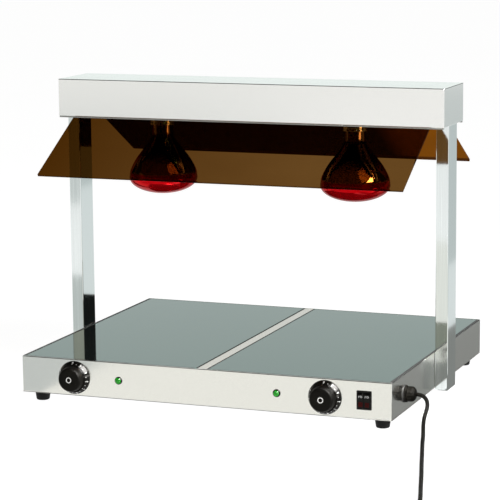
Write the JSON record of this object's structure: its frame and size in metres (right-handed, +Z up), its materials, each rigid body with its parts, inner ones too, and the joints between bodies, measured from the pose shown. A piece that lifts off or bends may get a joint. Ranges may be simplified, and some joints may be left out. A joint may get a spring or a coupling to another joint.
{
  "type": "heat lamp warmer",
  "caption": "Countertop food warmer: black glass hot plates in a low steel base, with red infrared lamps and sloping amber glass shields under a canopy carried by side posts.",
  "frame": {"origin": "on the surface the warmer stands on, in the middle of its outline from above without the free mains lead", "axes": "+Z up; the front with the controls faces -Y; +X is to the right as seen from the front"},
  "size_m": [0.9182, 1.149, 0.564],
  "materials": {
    "brushed_steel": "satin, brushed along the length",
    "polished_steel": "polished to a mirror",
    "galvanised_steel": "galvanised sheet",
    "bright_steel": "nickel plated",
    "chrome": "bright chrome",
    "brass": "rolled thread, semi-bright",
    "black_glass": "black, gloss, opaque",
    "amber_glass": "clear amber, polished edges",
    "ruby_glass": "ruby face, mirrored inside behind it",
    "green_lens": "clear green, gloss",
    "black_plastic": "semi-gloss black",
    "rubber": "matt black",
    "black_pvc": "satin black",
    "silicone_seal": "satin black",
    "heating_silicone": "matt red-brown",
    "mineral_wool": "fibrous",
    "ceramic": "unglazed white"
  },
  "bodies": {
    "warmer": {"base_housing": "brushed_steel", "centre_strip": "brushed_steel", "canopy_housing": "brushed_steel", "canopy_underplate": "brushed_steel", "shield_rail_front": "brushed_steel", "shield_rail_rear": "brushed_steel", "post_left": "polished_steel", "post_right": "polished_steel", "bottom_plate": "galvanised_steel", "plug_pin_front": "bright_steel", "plug_pin_rear": "bright_steel", "lamp_holder_left": "chrome", "lamp_holder_right": "chrome", "glass_plate_left": "black_glass", "glass_plate_right": "black_glass", "shield_front": "amber_glass", "shield_rear": "amber_glass", "pilot_lens_left": "green_lens", "pilot_lens_right": "green_lens", "pilot_bezel_left": "black_plastic", "pilot_bezel_right": "black_plastic", "switch_body": "black_plastic", "post_plug_left": "black_plastic", "post_plug_right": "black_plastic", "foot_front_left": "rubber", "foot_front_right": "rubber", "foot_rear_left": "rubber", "foot_rear_right": "rubber", "mains_cord": "black_pvc", "cord_tail": "black_pvc", "cord_coil": "black_pvc", "plug_body": "black_pvc", "gland_body": "black_pvc", "gland_nut": "black_pvc", "gland_locknut": "black_pvc", "lamp_lead": "black_pvc", "glass_seal_left": "silicone_seal", "glass_seal_right": "silicone_seal", "heating_mat_left": "heating_silicone", "heating_mat_right": "heating_silicone", "insulation_left": "mineral_wool", "insulation_right": "mineral_wool", "thermostat_left": "ceramic", "thermostat_right": "ceramic", "terminal_block": "ceramic"},
    "left_knob": {"knob_left": "black_plastic", "knob_cap_left": "black_plastic", "thermostat_shaft_left": "bright_steel"},
    "right_knob": {"knob_right": "black_plastic", "knob_cap_right": "black_plastic", "thermostat_shaft_right": "bright_steel"},
    "left_rocker": {"rocker_left": "black_plastic"},
    "right_rocker": {"rocker_right": "black_plastic"},
    "left_lamp_contact": {"lamp_contact_left": "bright_steel"},
    "left_lamp": {"lamp_glass_left": "ruby_glass", "lamp_cap_left": "brass"},
    "right_lamp_contact": {"lamp_contact_right": "bright_steel"},
    "right_lamp": {"lamp_glass_right": "ruby_glass", "lamp_cap_right": "brass"}
  },
  "joints": [
    {"name": "left_knob_turn", "type": "hinge", "parent": "warmer", "child": "left_knob", "pos_m": [-0.245, -0.2761, 0.052], "axis": [0, 1, 0], "range_deg": [0, 330]},
    {"name": "right_knob_turn", "type": "hinge", "parent": "warmer", "child": "right_knob", "pos_m": [0.2285, -0.2761, 0.052], "axis": [0, 1, 0], "range_deg": [0, 330]},
    {"name": "left_rocker_tilt", "type": "hinge", "parent": "warmer", "child": "left_rocker", "pos_m": [0.2932, -0.2746, 0.052], "axis": [-1, 0, 0], "range_deg": [0, 18]},
    {"name": "right_rocker_tilt", "type": "hinge", "parent": "warmer", "child": "right_rocker", "pos_m": [0.3048, -0.2746, 0.052], "axis": [-1, 0, 0], "range_deg": [0, 18]},
    {"name": "left_lamp_travel", "type": "slide", "parent": "warmer", "child": "left_lamp_contact", "axis": [0, 0, -1], "range_m": [0, 0.0218]},
    {"name": "left_lamp_turn", "type": "hinge", "parent": "left_lamp_contact", "child": "left_lamp", "pos_m": [-0.189, 0.0124, 0.5], "axis": [0, 0, -1], "range_deg": [0, 2160]},
    {"name": "right_lamp_travel", "type": "slide", "parent": "warmer", "child": "right_lamp_contact", "axis": [0, 0, -1], "range_m": [0, 0.0218]},
    {"name": "right_lamp_turn", "type": "hinge", "parent": "right_lamp_contact", "child": "right_lamp", "pos_m": [0.189, 0.0124, 0.5], "axis": [0, 0, -1], "range_deg": [0, 2160]}
  ],
  "couplings": [
    {"joint": "left_lamp_travel", "follows": "left_lamp_turn", "m_per_rad": 0.00057773},
    {"joint": "right_lamp_travel", "follows": "right_lamp_turn", "m_per_rad": 0.00057773}
  ]
}
